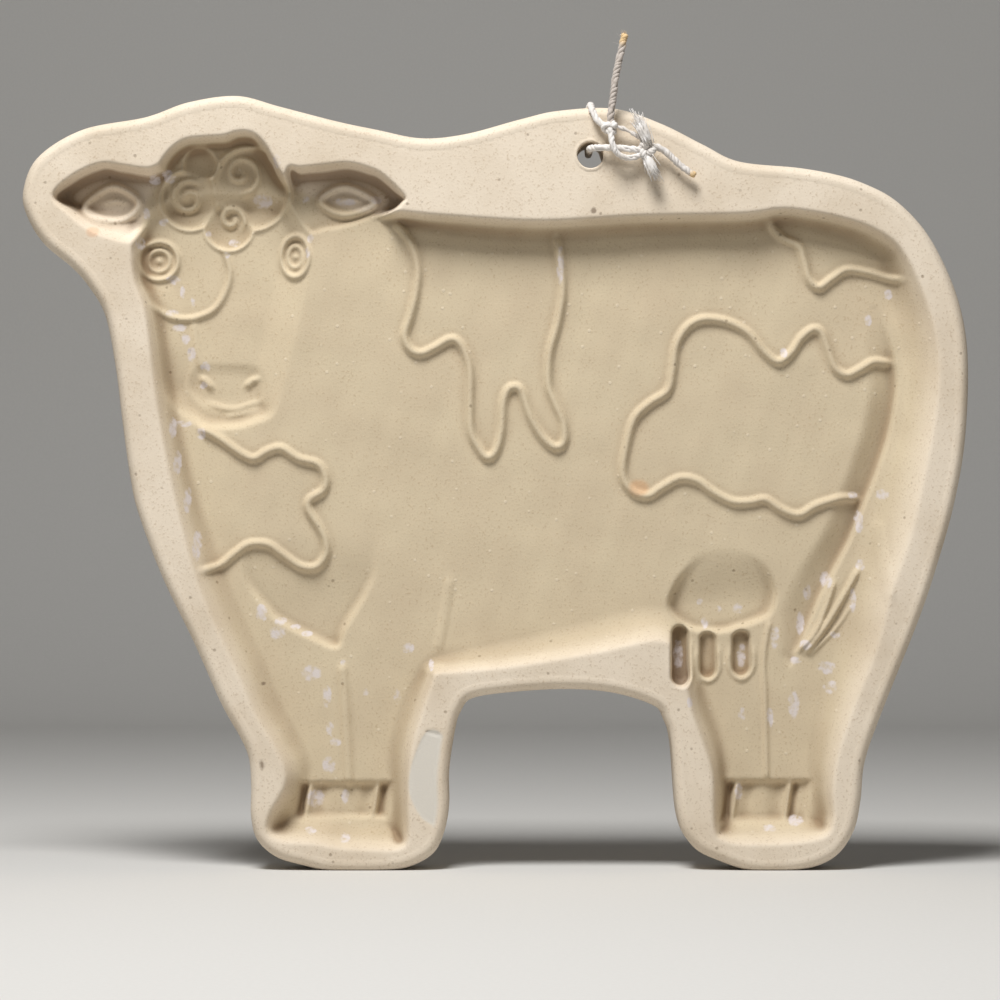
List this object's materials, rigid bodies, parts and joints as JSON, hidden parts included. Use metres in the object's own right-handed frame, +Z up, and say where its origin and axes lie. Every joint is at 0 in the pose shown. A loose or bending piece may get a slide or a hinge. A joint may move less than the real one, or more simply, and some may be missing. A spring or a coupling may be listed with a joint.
{
  "type": "cookie mould",
  "caption": "Upright stoneware slab with a cow-shaped hollow pressed into its face, a round hanging hole near the top and a short tied cotton string.",
  "frame": {"origin": "on the surface that the mould stands on, below the middle of the slab's width and of its thickness", "axes": "+X from the cow's head to its rump, +Y from the hollow face to the flat back, +Z up"},
  "size_m": [0.223, 0.0239, 0.1967],
  "materials": {
    "stoneware": "unglazed, matt",
    "cotton": "soft, matt"
  },
  "bodies": {
    "root": {"mould_body": "stoneware", "string_loop": "cotton", "string_long_end": "cotton", "string_link": "cotton", "string_tie": "cotton", "string_short_end": "cotton", "knot_top": "cotton", "knot_side": "cotton", "fray_up": "cotton", "fray_down": "cotton"}
  },
  "joints": []
}
